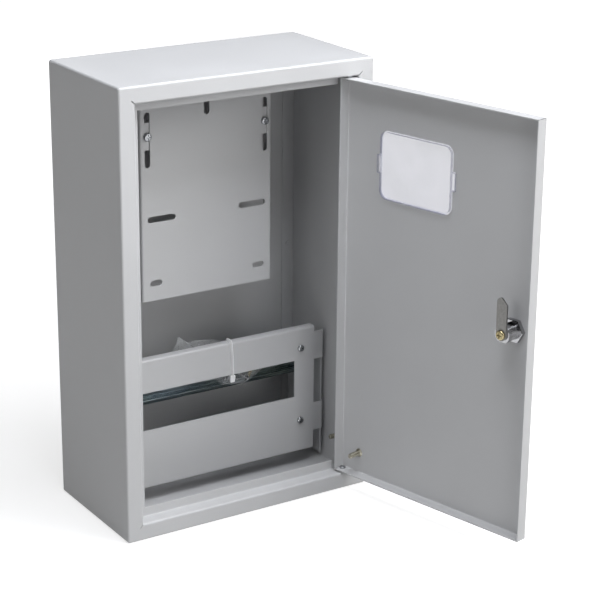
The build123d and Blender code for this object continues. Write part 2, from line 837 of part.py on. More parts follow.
body_wrap.part.label = "body_wrap"
export_step(body_wrap.part, "parts/body_wrap.step")
back_panel.part.label = "back_panel"
export_step(back_panel.part, "parts/back_panel.step")
back_rivets.part.label = "back_rivets"
export_step(back_rivets.part, "parts/back_rivets.step")
hinge_pin_top.part.label = "hinge_pin_top"
export_step(hinge_pin_top.part, "parts/hinge_pin_top.step")
hinge_pin_bottom.part.label = "hinge_pin_bottom"
export_step(hinge_pin_bottom.part, "parts/hinge_pin_bottom.step")
box_earth_stud.part.label = "box_earth_stud"
export_step(box_earth_stud.part, "parts/box_earth_stud.step")
meter_panel.part.label = "meter_panel"
export_step(meter_panel.part, "parts/meter_panel.step")
panel_standoff_left.part.label = "panel_standoff_left"
export_step(panel_standoff_left.part, "parts/panel_standoff_left.step")
panel_standoff_right.part.label = "panel_standoff_right"
export_step(panel_standoff_right.part, "parts/panel_standoff_right.step")
panel_screws.part.label = "panel_screws"
export_step(panel_screws.part, "parts/panel_screws.step")
breaker_cover.part.label = "breaker_cover"
export_step(breaker_cover.part, "parts/breaker_cover.step")
cover_bracket_left.part.label = "cover_bracket_left"
export_step(cover_bracket_left.part, "parts/cover_bracket_left.step")
cover_bracket_right.part.label = "cover_bracket_right"
export_step(cover_bracket_right.part, "parts/cover_bracket_right.step")
cover_screws.part.label = "cover_screws"
export_step(cover_screws.part, "parts/cover_screws.step")
din_rail.part.label = "din_rail"
export_step(din_rail.part, "parts/din_rail.step")
rail_screws.part.label = "rail_screws"
export_step(rail_screws.part, "parts/rail_screws.step")
cable_tie.part.label = "cable_tie"
export_step(cable_tie.part, "parts/cable_tie.step")
fittings_bag.part.label = "fittings_bag"
export_step(fittings_bag.part, "parts/fittings_bag.step")
door_leaf.part.label = "door_leaf"
export_step(door_leaf.part, "parts/door_leaf.step")
window_pane.part.label = "window_pane"
export_step(window_pane.part, "parts/window_pane.step")
lock_housing.part.label = "lock_housing"
export_step(lock_housing.part, "parts/lock_housing.step")
lock_nut.part.label = "lock_nut"
export_step(lock_nut.part, "parts/lock_nut.step")
lock_plug.part.label = "lock_plug"
export_step(lock_plug.part, "parts/lock_plug.step")
lock_cam.part.label = "lock_cam"
export_step(lock_cam.part, "parts/lock_cam.step")
cam_screw.part.label = "cam_screw"
export_step(cam_screw.part, "parts/cam_screw.step")
door_earth_stud.part.label = "door_earth_stud"
export_step(door_earth_stud.part, "parts/door_earth_stud.step")
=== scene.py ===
# %% [markdown]
# # A steel meter box with its door standing open
# The box, its door and all its fittings come from the CAD model, in metres, as a fixed frame.
# A frame part could be remodelled here, but its shape and size are right, so it only gets a finish.
# What this file builds is what CAD leaves plain: film, thread, a cable tie, light and paint.

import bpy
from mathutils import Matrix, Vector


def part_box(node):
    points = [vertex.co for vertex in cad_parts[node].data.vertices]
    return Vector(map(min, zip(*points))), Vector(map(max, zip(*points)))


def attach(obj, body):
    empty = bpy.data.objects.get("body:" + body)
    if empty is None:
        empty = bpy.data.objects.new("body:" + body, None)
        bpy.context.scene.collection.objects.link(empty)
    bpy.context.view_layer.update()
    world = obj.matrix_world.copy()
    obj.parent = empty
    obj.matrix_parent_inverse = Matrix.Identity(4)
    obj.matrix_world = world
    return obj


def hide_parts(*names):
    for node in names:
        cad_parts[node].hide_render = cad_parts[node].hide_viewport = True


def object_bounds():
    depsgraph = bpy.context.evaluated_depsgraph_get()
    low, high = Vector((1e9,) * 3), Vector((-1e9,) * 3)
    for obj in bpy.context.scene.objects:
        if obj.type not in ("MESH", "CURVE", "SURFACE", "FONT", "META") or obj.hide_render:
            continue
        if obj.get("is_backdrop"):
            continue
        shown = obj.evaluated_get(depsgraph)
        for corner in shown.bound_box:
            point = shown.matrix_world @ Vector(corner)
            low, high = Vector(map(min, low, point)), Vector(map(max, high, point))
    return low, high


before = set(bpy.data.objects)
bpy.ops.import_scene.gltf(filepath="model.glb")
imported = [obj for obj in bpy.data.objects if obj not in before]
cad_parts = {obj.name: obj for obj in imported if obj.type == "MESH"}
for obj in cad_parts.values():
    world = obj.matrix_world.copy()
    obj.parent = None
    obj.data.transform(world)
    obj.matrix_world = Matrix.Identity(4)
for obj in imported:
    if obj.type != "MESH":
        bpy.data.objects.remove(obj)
cad_low, cad_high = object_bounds()
print("frame nodes:", len(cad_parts), "box", cad_low, cad_high)

# %% The tools that the cells share
import math
import random

import bmesh
import bpy
from mathutils import Matrix, Vector
from mathutils.noise import noise

MM = 0.001
WHITE = (1.0, 1.0, 1.0, 1.0)
scene = bpy.context.scene
print("shared tools ready")

# %% [markdown]
# ## Node maths as plain sums
# A finish is a small net of nodes. Wiring each Math node by hand hides what it is for.
# So one class wraps a socket, and the usual signs add the Math nodes.
# Every other node comes from one method: its type, its settings, then what goes into its sockets.


# %% A socket that can be added and multiplied
class Signal:
    """One output of a node in a net."""

    def __init__(self, net, socket):
        self.net = net
        self.socket = socket

    def combined(self, operation, first, second):
        return self.net.node("ShaderNodeMath", {"operation": operation}, {0: first, 1: second})

    def __add__(self, other):
        return self.combined("ADD", self, other)

    def __radd__(self, other):
        return self.combined("ADD", other, self)

    def __sub__(self, other):
        return self.combined("SUBTRACT", self, other)

    def __rsub__(self, other):
        return self.combined("SUBTRACT", other, self)

    def __mul__(self, other):
        return self.combined("MULTIPLY", self, other)

    def __rmul__(self, other):
        return self.combined("MULTIPLY", other, self)


print("sums on sockets ready")


# %% Every node from one method
class NodeNet:
    """A shader's node tree, whose nodes are made by one method."""

    def __init__(self, tree):
        self.tree = tree

    def node(self, kind, settings=None, sockets=None, output=0):
        made = self.tree.nodes.new(kind)
        for setting, value in (settings or {}).items():
            setattr(made, setting, value)
        for key, value in (sockets or {}).items():
            if isinstance(value, Signal):
                self.tree.links.new(value.socket, made.inputs[key])
            else:
                made.inputs[key].default_value = value
        return Signal(self, made.outputs[output])

    def surface(self, signal, output_node):
        """Show this shader on the surface."""
        self.tree.links.new(signal.socket, self.tree.nodes[output_node].inputs["Surface"])


print("node maker ready")


# %% One finish
class Finish(NodeNet):
    """A material with one shader, and the steps that most finishes share."""

    def __init__(self, name, **constants):
        self.material = bpy.data.materials.new(name)
        self.material.use_nodes = True
        super().__init__(self.material.node_tree)
        self.shader = self.tree.nodes["Principled BSDF"]
        for socket, value in constants.items():
            self.shader.inputs[socket].default_value = value
        self.place = self.node("ShaderNodeTexCoord", output="Object")

    def grain(self, size, detail, stretch=(1.0, 1.0, 1.0)):
        """Soft noise whose lumps are about this many metres across."""
        spread = self.node("ShaderNodeMapping", sockets={"Vector": self.place, "Scale": stretch})
        return self.node(
            "ShaderNodeTexNoise", sockets={"Vector": spread, "Scale": 1.0 / size, "Detail": detail}
        )

    def remap(self, signal, low, high, start=0.3, end=0.7):
        """The signal's stretch from start to end, spread from low to high."""
        return self.node(
            "ShaderNodeMapRange", sockets={"Value": signal, 1: start, 2: end, 3: low, 4: high}
        )

    def tint(self, factor, first, second):
        """A colour between two colours."""
        return self.node(
            "ShaderNodeMix", {"data_type": "RGBA"}, {0: factor, 6: first, 7: second}, output=2
        )

    def wire(self, **inputs):
        for socket, signal in inputs.items():
            self.tree.links.new(signal.socket, self.shader.inputs[socket.replace("_", " ")])

    def bump(self, height, distance, strength):
        self.wire(Normal=self.node(
            "ShaderNodeBump", sockets={"Height": height, "Distance": distance, "Strength": strength}
        ))


print("finish maker ready")

# %% [markdown]
# ## Powder-coated steel
# The real paint is a light grey powder, baked on, so its skin has a very fine orange peel.
# A flat grey would look like card. Three grains are used: a hand-sized cloud that shifts the grey
# and the gloss a little, as a sprayed coat does, a millimetre-sized peel and a finer dust.


# %% Paint the sheet metal
def darkened(shade, share):
    return tuple(part * share for part in shade[:3]) + (1.0,)


def powder_coat(name, shade):
    """Sprayed powder paint with its orange peel."""
    cloud_size, peel_size, dust_size = 110 * MM, 1.3 * MM, 0.45 * MM
    peel_height, peel_strength = 0.06 * MM, 0.55
    glossy, dull = 0.34, 0.46
    darkest, dust_share = 0.955, 0.35
    paint = Finish(name, IOR=1.5)
    cloud = paint.grain(cloud_size, 3.0)
    peel = paint.grain(peel_size, 1.0)
    dust = paint.grain(dust_size, 0.0)
    drift = paint.remap(cloud + (dust - 0.5) * dust_share, 0.0, 1.0)
    paint.wire(Base_Color=paint.tint(drift, darkened(shade, darkest), shade))
    paint.wire(Roughness=paint.remap(cloud * 0.6 + peel * 0.4, glossy, dull))
    paint.bump(peel * 0.8 + dust * 0.3, peel_height, peel_strength)
    return paint.material


enclosure_paint = powder_coat("enclosure_paint", (0.56, 0.562, 0.566, 1.0))
print("paint:", enclosure_paint.name)

# %% [markdown]
# ## Plated and bare metals
# Screws, studs, lock and rail are metal under different platings. Each is a metallic shader,
# and what tells them apart is colour, gloss and the way both change over the surface.
# Bright zinc has soft cloudy spots, a passivated rail drifts from blue to straw, and a stamped
# cam is dull with fine scratches along its length.


# %% Plating
def plating(name, light, dark, gloss, spot, stretch=(1.0, 1.0, 1.0)):
    """Metal that wears from dark and rough to light and glossy in spots of this size."""
    line_size, line_height, line_strength = spot * 0.3, 0.01 * MM, 0.6
    dull = gloss + 0.1
    metal = Finish(name, Metallic=1.0)
    patches = metal.grain(spot, 3.0)
    lines = metal.grain(line_size, 2.0, stretch)
    worn = metal.remap(patches * 0.6 + lines * 0.4, 0.0, 1.0, 0.35, 0.65)
    metal.wire(Base_Color=metal.tint(worn, dark, light))
    metal.wire(Roughness=metal.remap(worn, dull, gloss, 0.0, 1.0))
    metal.bump(lines, line_height, line_strength)
    return metal.material


bright_zinc = plating(
    "bright_zinc", light=(0.5, 0.51, 0.52, 1.0), dark=(0.3, 0.31, 0.33, 1.0),
    gloss=0.22, spot=3 * MM,
)
stud_zinc = plating(
    "stud_zinc", light=(0.52, 0.5, 0.42, 1.0), dark=(0.28, 0.26, 0.2, 1.0),
    gloss=0.28, spot=2 * MM,
)
rivet_metal = plating(
    "rivet_metal", light=(0.66, 0.66, 0.66, 1.0), dark=(0.5, 0.5, 0.51, 1.0),
    gloss=0.32, spot=2 * MM,
)
print("screws, studs and rivets:", bright_zinc.name, stud_zinc.name, rivet_metal.name)

# %% The metals of the lock and its screw
lock_chrome = plating(
    "lock_chrome", light=(0.52, 0.52, 0.53, 1.0), dark=(0.36, 0.36, 0.37, 1.0),
    gloss=0.12, spot=4 * MM,
)
cam_zinc = plating(
    "cam_zinc", light=(0.27, 0.265, 0.255, 1.0), dark=(0.2, 0.197, 0.19, 1.0),
    gloss=0.36, spot=2 * MM, stretch=(1.0, 1.0, 0.4),
)
yellow_zinc = plating(
    "yellow_zinc", light=(0.5, 0.43, 0.25, 1.0), dark=(0.32, 0.27, 0.15, 1.0),
    gloss=0.22, spot=3 * MM,
)
print("lock:", lock_chrome.name, cam_zinc.name, yellow_zinc.name)


# %% The rail's passivated zinc
def rail_plating():
    """Zinc that drifts from blue to straw, with faint lines from rolling along X."""
    drift_size, line_size = 30 * MM, 1.2 * MM
    line_height, line_strength = 0.01 * MM, 0.4
    blue, pale_blue = (0.21, 0.26, 0.29, 1.0), (0.3, 0.35, 0.38, 1.0)
    straw, most_straw = (0.28, 0.33, 0.26, 1.0), 0.6
    glossy, dull = 0.24, 0.3
    metal = Finish("rail_zinc", Metallic=1.0)
    drift = metal.grain(drift_size, 2.0, (0.35, 1.0, 1.0))
    rolled = metal.grain(line_size, 2.0, (0.03, 1.0, 1.0))
    cool = metal.tint(metal.remap(rolled, 0.0, 1.0), blue, pale_blue)
    tinted = metal.tint(metal.remap(drift, 0.0, most_straw, 0.4, 0.65), cool, straw)
    metal.wire(Base_Color=tinted, Roughness=metal.remap(rolled, glossy, dull))
    metal.bump(rolled, line_height, line_strength)
    return metal.material


rail_zinc = rail_plating()
print("rail plating:", rail_zinc.name)

# %% [markdown]
# ## Plastics
# The reading window is clear and a little misty, the tie is milky nylon and the bag is thin film.
# Real glass shaders bend the view, which thin sheet hardly does, so the two clear ones use Alpha:
# open when seen straight on, and closing towards the edges, where the sheet is seen lengthwise.


# %% Clear pane
def clear_plastic(name, shade, gloss, open_alpha, edge_alpha, mist_size):
    """Clear sheet with a faint mist in patches of this size."""
    mist_depth, most_milky = 0.03, 0.3
    misty = gloss + 0.08
    plastic = Finish(name, IOR=1.49)
    edge = plastic.node("ShaderNodeLayerWeight", sockets={"Blend": 0.35}, output="Facing")
    mist = plastic.remap(plastic.grain(mist_size, 1.0), -mist_depth, mist_depth)
    milky = plastic.remap(mist, 0.0, most_milky, -mist_depth, mist_depth)
    plastic.wire(Alpha=edge * (edge_alpha - open_alpha) + open_alpha + mist)
    plastic.wire(Base_Color=plastic.tint(milky, shade, WHITE))
    plastic.wire(Roughness=plastic.remap(mist, gloss, misty, -mist_depth, mist_depth))
    return plastic.material


clear_pane = clear_plastic(
    "clear_pane", (0.25, 0.26, 0.42, 1.0),
    gloss=0.1, open_alpha=0.22, edge_alpha=0.6, mist_size=50 * MM,
)
print("pane:", clear_pane.name)


# %% Crumpled film
def crumpled_film(name, shade):
    """Clear film, milky where it is seen along its length, with white lines along its creases
    painted on as highlights.
    """
    patch_size, warp = 20 * MM, 12 * MM
    warp_scale, wide_scale, fine_scale = 60.0, 95.0, 260.0
    open_alpha, edge_alpha, crease_highlight_alpha = 0.06, 0.4, 0.6
    smooth, rough = 0.05, 0.25
    crease_depth, crease_strength = 1.2 * MM, 0.8
    film = Finish(name, IOR=1.5)
    bent = film.grain(patch_size, 1.0)
    swirl = film.node(
        "ShaderNodeTexNoise", sockets={"Vector": film.place, "Scale": warp_scale}, output=1
    )
    moved = film.node(
        "ShaderNodeVectorMath", {"operation": "MULTIPLY_ADD"},
        {0: swirl, 1: (warp, warp, warp), 2: film.place},
    )
    wide, fine = (
        film.node(
            "ShaderNodeTexVoronoi", {"feature": "DISTANCE_TO_EDGE"},
            {"Vector": moved, "Scale": scale},
        )
        for scale in (wide_scale, fine_scale)
    )
    # Painted highlight: in patches, lines along the creases turn whiter and more opaque, as glints
    # on the folds.
    crease_highlight_patches = film.remap(bent, 0.0, 1.0, 0.45, 0.7)
    lines = film.remap(wide, 1.0, 0.0, 0.0, 0.035) + film.remap(fine, 0.35, 0.0, 0.0, 0.03)
    crease_highlight = lines * crease_highlight_patches
    edge = film.node("ShaderNodeLayerWeight", sockets={"Blend": 0.4}, output="Facing")
    film.wire(Alpha=edge * edge_alpha + crease_highlight * crease_highlight_alpha + open_alpha)
    film.wire(Base_Color=film.tint(crease_highlight, shade, WHITE))
    film.wire(Roughness=film.remap(crease_highlight, smooth, rough, 0.0, 1.0))
    film.bump(wide * 0.6 + fine * 0.2, crease_depth, crease_strength)
    return film.material


bag_film = crumpled_film("bag_film", (0.86, 0.88, 0.89, 1.0))
print("film:", bag_film.name)


# %% Nylon
def nylon(name, shade):
    """Milky nylon with soft clouds and a fine grain."""
    cloud_size, pore_size = 4 * MM, 0.6 * MM
    pore_depth, pore_strength = 0.02 * MM, 0.4
    glossy, dull, darkest = 0.34, 0.46, 0.94
    plastic = Finish(name, IOR=1.53)
    cloud = plastic.grain(cloud_size, 2.0)
    plastic.wire(Base_Color=plastic.tint(cloud, darkened(shade, darkest), shade))
    plastic.wire(Roughness=plastic.remap(cloud, glossy, dull))
    plastic.bump(plastic.grain(pore_size, 1.0), pore_depth, pore_strength)
    return plastic.material


tie_nylon = nylon("tie_nylon", (0.95, 0.95, 0.95, 1.0))
plug_nylon = nylon("plug_nylon", (0.72, 0.74, 0.74, 1.0))
print("nylon:", tie_nylon.name, plug_nylon.name)

# %% [markdown]
# ## Dress the frame
# A CAD node keeps its mesh and its place, and only its material slots change.
# A table from finish to nodes is easier to check against the photograph than a line for each node.

# %% Put a finish on each node
finishes = {
    enclosure_paint: (
        "body_wrap", "back_panel", "door_leaf", "meter_panel", "breaker_cover",
        "cover_bracket_left", "cover_bracket_right", "panel_standoff_left", "panel_standoff_right",
    ),
    bright_zinc: (
        "hinge_pin_top", "hinge_pin_bottom", "panel_screws", "cover_screws", "rail_screws",
        "door_earth_stud", "box_earth_stud",
    ),
    rivet_metal: ("back_rivets",),
    rail_zinc: ("din_rail",),
    lock_chrome: ("lock_housing", "lock_nut", "lock_plug"),
    cam_zinc: ("lock_cam",),
    yellow_zinc: ("cam_screw",),
    clear_pane: ("window_pane",),
    tie_nylon: ("cable_tie",),
    bag_film: ("fittings_bag",),
}
for finish, names in finishes.items():
    for name in names:
        for material_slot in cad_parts[name].material_slots:
            material_slot.material = finish
dressed = sum(len(names) for names in finishes.values())
print("nodes dressed:", dressed, "of", len(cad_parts))

# %% [markdown]
# ## Pieces made by Geometry Nodes
# Thread and the teeth of a strap repeat by a rule, so a node tree makes them.
# A tree with named inputs can be used again with other sizes. Its result is turned into a plain
# mesh and moved to its place, because the frame wants every object at the origin.


# %% A tree with named inputs, and a node in it
def node_tree(name, inputs):
    """A tree with these inputs, and the two nodes at its ends."""
    tree = bpy.data.node_groups.new(name, "GeometryNodeTree")
    tree.interface.new_socket("Geometry", in_out="INPUT", socket_type="NodeSocketGeometry")
    tree.interface.new_socket("Geometry", in_out="OUTPUT", socket_type="NodeSocketGeometry")
    for label, kind in inputs.items():
        tree.interface.new_socket(label, in_out="INPUT", socket_type=kind)
    return tree, tree.nodes.new("NodeGroupInput"), tree.nodes.new("NodeGroupOutput")


def add_node(tree, kind, settings=None, sockets=None):
    """A node with its settings, and a value or a link in each named socket."""
    made = tree.nodes.new(kind)
    for setting, value in (settings or {}).items():
        setattr(made, setting, value)
    for key, value in (sockets or {}).items():
        if isinstance(value, bpy.types.NodeSocket):
            tree.links.new(value, made.inputs[key])
        else:
            made.inputs[key].default_value = value
    return made


print("tree maker ready")


# %% Join two shapes, and close a tree
def add_join(tree, first, second):
    joined = add_node(tree, "GeometryNodeJoinGeometry")
    for part in (first, second):
        tree.links.new(part, joined.inputs[0])
    return joined


def close_tree(tree, tree_in, tree_out, geometry):
    """End the tree with real meshes in one finish."""
    real = add_node(tree, "GeometryNodeRealizeInstances", None, {"Geometry": geometry})
    coat = add_node(
        tree, "GeometryNodeSetMaterial", None,
        {"Geometry": real.outputs[0], "Material": tree_in.outputs["Finish"]},
    )
    tree.links.new(coat.outputs[0], tree_out.inputs[0])


print("tree ends ready")


# %% A tree's result as a mesh
def placed(name, mesh):
    """An object at the origin that shows the mesh."""
    piece = bpy.data.objects.new(name, mesh)
    scene.collection.objects.link(piece)
    return piece


def grown(name, tree, sizes, place, start=None):
    """The tree's mesh, moved by the matrix, as an object at the origin."""
    seed = placed(name + "_seed", start or bpy.data.meshes.new(name + "_seed"))
    modifier = seed.modifiers.new("tree", "NODES")
    modifier.node_group = tree
    for item in tree.interface.items_tree:
        if item.in_out == "INPUT" and item.name in sizes:
            modifier[item.identifier] = sizes[item.name]
    bpy.context.view_layer.update()
    seen = seed.evaluated_get(bpy.context.evaluated_depsgraph_get())
    mesh = bpy.data.meshes.new_from_object(seen)
    bpy.data.objects.remove(seed)
    mesh.transform(place)
    mesh.name = name
    print(name, "faces", len(mesh.polygons))
    return placed(name, mesh)


# %% [markdown]
# ## Thread
# A thread is a ridge that climbs round a core. It could be a bump in the material, but then its
# outline stays smooth, and the outline is what the eye reads on a stud. Here a spiral carries a
# four-sided profile, so each turn gets a crest. Two flats can cut it, as on the lock's barrel.

# %% The ridge
thread_sides = 28
thread_tree, thread_in, thread_out = node_tree(
    "thread",
    {
        "Radius": "NodeSocketFloat", "Pitch": "NodeSocketFloat", "Turns": "NodeSocketFloat",
        "Crest": "NodeSocketFloat", "Core": "NodeSocketFloat", "Flat": "NodeSocketFloat",
        "Finish": "NodeSocketMaterial",
    },
)
rise = add_node(
    thread_tree, "ShaderNodeMath", {"operation": "MULTIPLY"},
    {0: thread_in.outputs["Pitch"], 1: thread_in.outputs["Turns"]},
)
spiral = add_node(
    thread_tree, "GeometryNodeCurveSpiral", None,
    {
        "Resolution": thread_sides, "Rotations": thread_in.outputs["Turns"],
        "Start Radius": thread_in.outputs["Radius"], "End Radius": thread_in.outputs["Radius"],
        "Height": rise.outputs[0],
    },
)
crest = add_node(
    thread_tree, "GeometryNodeCurvePrimitiveCircle", None,
    {"Resolution": 4, "Radius": thread_in.outputs["Crest"]},
)
ridge = add_node(
    thread_tree, "GeometryNodeCurveToMesh", None,
    {"Curve": spiral.outputs[0], "Profile Curve": crest.outputs[0], "Fill Caps": True},
)
print("ridge nodes:", len(thread_tree.nodes))

# %% The core, which stands on its foot
core = add_node(
    thread_tree, "GeometryNodeMeshCylinder", None,
    {"Vertices": thread_sides, "Radius": thread_in.outputs["Core"], "Depth": rise.outputs[0]},
)
half_rise = add_node(
    thread_tree, "ShaderNodeMath", {"operation": "MULTIPLY"}, {0: rise.outputs[0], 1: 0.5}
)
up = add_node(thread_tree, "ShaderNodeCombineXYZ", None, {"Z": half_rise.outputs[0]})
raised = add_node(
    thread_tree, "GeometryNodeTransform", None,
    {"Geometry": core.outputs["Mesh"], "Translation": up.outputs[0]},
)
screw_shape = add_join(thread_tree, ridge.outputs[0], raised.outputs[0])
print("with its core:", len(thread_tree.nodes))

# %% Cut the flats and close the tree
where = add_node(thread_tree, "GeometryNodeInputPosition")
parts = add_node(thread_tree, "ShaderNodeSeparateXYZ", None, {0: where.outputs[0]})
below = add_node(
    thread_tree, "ShaderNodeMath", {"operation": "MULTIPLY"},
    {0: thread_in.outputs["Flat"], 1: -1.0},
)
held = add_node(
    thread_tree, "ShaderNodeClamp", None,
    {"Value": parts.outputs["X"], "Min": below.outputs[0], "Max": thread_in.outputs["Flat"]},
)
cut_place = add_node(
    thread_tree, "ShaderNodeCombineXYZ", None,
    {"X": held.outputs[0], "Y": parts.outputs["Y"], "Z": parts.outputs["Z"]},
)
flattened = add_node(
    thread_tree, "GeometryNodeSetPosition", None,
    {"Geometry": screw_shape.outputs[0], "Position": cut_place.outputs[0]},
)
close_tree(thread_tree, thread_in, thread_out, flattened.outputs[0])
print("thread tree closed:", len(thread_tree.nodes))

# %% [markdown]
# ## Turned pieces
# Collars, tips, screw heads and wall plugs are round, so an outline turned on its axis is enough.
# The Spin tool could do it, but it can turn a shape inside out. Rings of points are as short,
# and they meet in one point at each pole.


# %% A direction to turn about
def along(start, direction):
    """A place whose own Z runs in this direction from the start, and whose own X points upwards."""
    upwards = Vector((0.0, 0.0, 1.0))
    z = Vector(direction).normalized()
    x = (upwards - z * z.dot(upwards)).normalized()
    y = z.cross(x)
    turned = Matrix((x, y, z)).transposed().to_4x4()
    return Matrix.Translation(Vector(start)) @ turned


def ring_of(shape, radius, height, sides):
    """The points of one ring, or the single point of a pole."""
    if radius == 0.0:
        return [shape.verts.new((0.0, 0.0, height))]
    turns = (2 * math.pi * step / sides for step in range(sides))
    return [shape.verts.new((radius * math.cos(a), radius * math.sin(a), height)) for a in turns]


print("rings ready")


# %% Turn an outline, and join pieces
def finished_mesh(name, shape, finish):
    """The shape as a mesh in one finish. The shape itself is freed."""
    mesh = bpy.data.meshes.new(name)
    shape.to_mesh(mesh)
    shape.free()
    mesh.materials.append(finish)
    return mesh


def turned_piece(name, outline, place, finish, sides=36):
    """A solid turned on its own Z from radius and height in millimetres, closed at both poles."""
    fold_angle = math.radians(35)
    shape = bmesh.new()
    rings = [ring_of(shape, radius * MM, height * MM, sides) for radius, height in outline]
    for lower, upper in zip(rings, rings[1:]):
        for step in range(sides):
            corners = [
                lower[step % len(lower)], lower[(step + 1) % len(lower)],
                upper[(step + 1) % len(upper)], upper[step % len(upper)],
            ]
            corners = list(dict.fromkeys(corners))
            if len(corners) > 2:
                shape.faces.new(corners)
    bmesh.ops.recalc_face_normals(shape, faces=shape.faces)
    mesh = finished_mesh(name, shape, finish)
    mesh.transform(place)
    mesh.shade_smooth()
    mesh.set_sharp_from_angle(angle=fold_angle)
    return placed(name, mesh)


def one_piece(name, pieces, finish):
    """Several objects at the origin as one, in one finish."""
    shape = bmesh.new()
    for piece in pieces:
        shape.from_mesh(piece.data)
    for face in shape.faces:
        face.material_index = 0
    mesh = finished_mesh(name, shape, finish)
    for piece in pieces:
        bpy.data.objects.remove(piece)
    print(name, "faces", len(mesh.polygons))
    return placed(name, mesh)


print("turning tools ready")

# %% [markdown]
# ## Earthing studs
# Each stud is an M6 bolt welded to the sheet, with a small collar of weld at its foot.
# The CAD solid is a smooth pin. A threaded one replaces it, with the same length and outer size.

# %% The stud's sizes
# The two outlines are pairs of radius and height in millimetres.
# The flats of no_flat lie outside this thread and the loose screws', so they cut nothing.
no_flat = 9 * MM
stud_thread_start = 1.2 * MM
stud_length = 16.5 * MM
stud_thread = {
    "Radius": 2.62 * MM, "Pitch": 1.0 * MM, "Turns": 14.6, "Crest": 0.38 * MM,
    "Core": 2.66 * MM, "Flat": no_flat, "Finish": stud_zinc,
}
collar_outline = (
    (0.0, 0.0), (5.25, 0.0), (5.2, 0.35), (4.6, 0.8), (3.6, 1.0), (3.0, 1.5), (2.4, 1.9),
    (0.0, 1.9),
)
tip_outline = ((0.0, 15.3), (2.66, 15.3), (2.66, 16.0), (2.2, 16.5), (0.0, 16.5))
print("stud length mm:", stud_length / MM)


# %% Make both studs
def threaded_stud(name, foot, direction, node, body):
    """A stud that stands on its foot in this direction, instead of the node."""
    place = along(foot, direction)
    thread_place = place @ Matrix.Translation((0.0, 0.0, stud_thread_start))
    ridge_part = grown(name + "_ridge", thread_tree, stud_thread, thread_place)
    collar = turned_piece(name + "_collar", collar_outline, place, stud_zinc)
    tip = turned_piece(name + "_tip", tip_outline, place, stud_zinc)
    stud = one_piece(name, [ridge_part, collar, tip], stud_zinc)
    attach(stud, body)
    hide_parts(node)


door_open_angle = math.radians(103.4)
door_inward = Vector((-math.sin(door_open_angle), math.cos(door_open_angle), 0.0))
door_stud_low, door_stud_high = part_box("door_earth_stud")
door_stud_foot = (door_stud_low + door_stud_high) / 2 - door_inward * (stud_length / 2)
threaded_stud("door_stud_threaded", door_stud_foot, door_inward, "door_earth_stud", "door")

box_stud_low, box_stud_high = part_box("box_earth_stud")
box_stud_middle = (box_stud_low + box_stud_high) / 2
box_stud_foot = Vector((box_stud_high.x, box_stud_middle.y, box_stud_middle.z))
threaded_stud("box_stud_threaded", box_stud_foot, (-1.0, 0.0, 0.0), "box_earth_stud", "box")
print("studs stand", door_stud_foot, box_stud_foot)

# %% [markdown]
# ## Thread on the lock's barrel
# The barrel behind the door is threaded for its nut and has two flats that stop it turning.
# The CAD barrel stays, and a fine ridge is laid on its round sides, cut back at the flats.

# %% Lay the ridge on the barrel
# The barrel's length counts from the door's outer face, and its thread shows from the nut on.
barrel_tip = Vector((0.16516, -0.38375, 0.0))
barrel_length = 22.2 * MM
thread_start = 6.5 * MM
barrel_foot = barrel_tip - door_inward * barrel_length
barrel_ridge = grown(
    "lock_barrel_thread", thread_tree,
    {
        "Radius": 9.4 * MM, "Pitch": 0.8 * MM, "Turns": 19.0, "Crest": 0.25 * MM,
        "Core": 9.3 * MM, "Flat": 8.27 * MM, "Finish": lock_chrome,
    },
    along(barrel_foot + door_inward * thread_start, door_inward),
)
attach(barrel_ridge, "door")

# %% [markdown]
# ## Cable tie
# A white nylon tie goes round the cover's upper band and holds the bag behind it.
# It is a flat strap with small teeth, drawn through a square head. A strap follows a path and its
# teeth repeat along it, so a node tree sweeps a thin profile along the loop and sets the teeth.

# %% The strap's tree
path_step = 0.5 * MM
strap_edge = 0.25 * MM
strap_tree, strap_in, strap_out = node_tree(
    "toothed_strap",
    {
        "Width": "NodeSocketFloat", "Thickness": "NodeSocketFloat",
        "Tooth pitch": "NodeSocketFloat", "Tooth height": "NodeSocketFloat",
        "Finish": "NodeSocketMaterial",
    },
)
fine_path = add_node(
    strap_tree, "GeometryNodeResampleCurve", {"mode": "LENGTH"},
    {"Curve": strap_in.outputs["Geometry"], "Length": path_step},
)
upright = add_node(
    strap_tree, "GeometryNodeSetCurveNormal", {"mode": "MINIMUM_TWIST"},
    {"Curve": fine_path.outputs[0]},
)
band_profile = add_node(
    strap_tree, "GeometryNodeCurvePrimitiveQuadrilateral", None,
    {"Width": strap_in.outputs["Width"], "Height": strap_in.outputs["Thickness"]},
)
rounded_profile = add_node(
    strap_tree, "GeometryNodeFilletCurve", {"mode": "POLY"},
    {"Curve": band_profile.outputs[0], "Radius": strap_edge, "Count": 3},
)
band = add_node(
    strap_tree, "GeometryNodeCurveToMesh", None,
    {"Curve": upright.outputs[0], "Profile Curve": rounded_profile.outputs[0], "Fill Caps": True},
)
print("strap tree nodes:", len(strap_tree.nodes))

# %% One tooth
share_of_width, share_of_pitch = 0.62, 0.45
tooth_width = add_node(
    strap_tree, "ShaderNodeMath", {"operation": "MULTIPLY"},
    {0: strap_in.outputs["Width"], 1: share_of_width},
)
tooth_length = add_node(
    strap_tree, "ShaderNodeMath", {"operation": "MULTIPLY"},
    {0: strap_in.outputs["Tooth pitch"], 1: share_of_pitch},
)
tooth_size = add_node(
    strap_tree, "ShaderNodeCombineXYZ", None,
    {
        "X": tooth_width.outputs[0], "Y": strap_in.outputs["Tooth height"],
        "Z": tooth_length.outputs[0],
    },
)
tooth = add_node(strap_tree, "GeometryNodeMeshCube", None, {"Size": tooth_size.outputs[0]})
inner_side = add_node(
    strap_tree, "ShaderNodeMath", {"operation": "MULTIPLY"},
    {0: strap_in.outputs["Thickness"], 1: -0.5},
)
tooth_shift = add_node(strap_tree, "ShaderNodeCombineXYZ", None, {"Y": inner_side.outputs[0]})
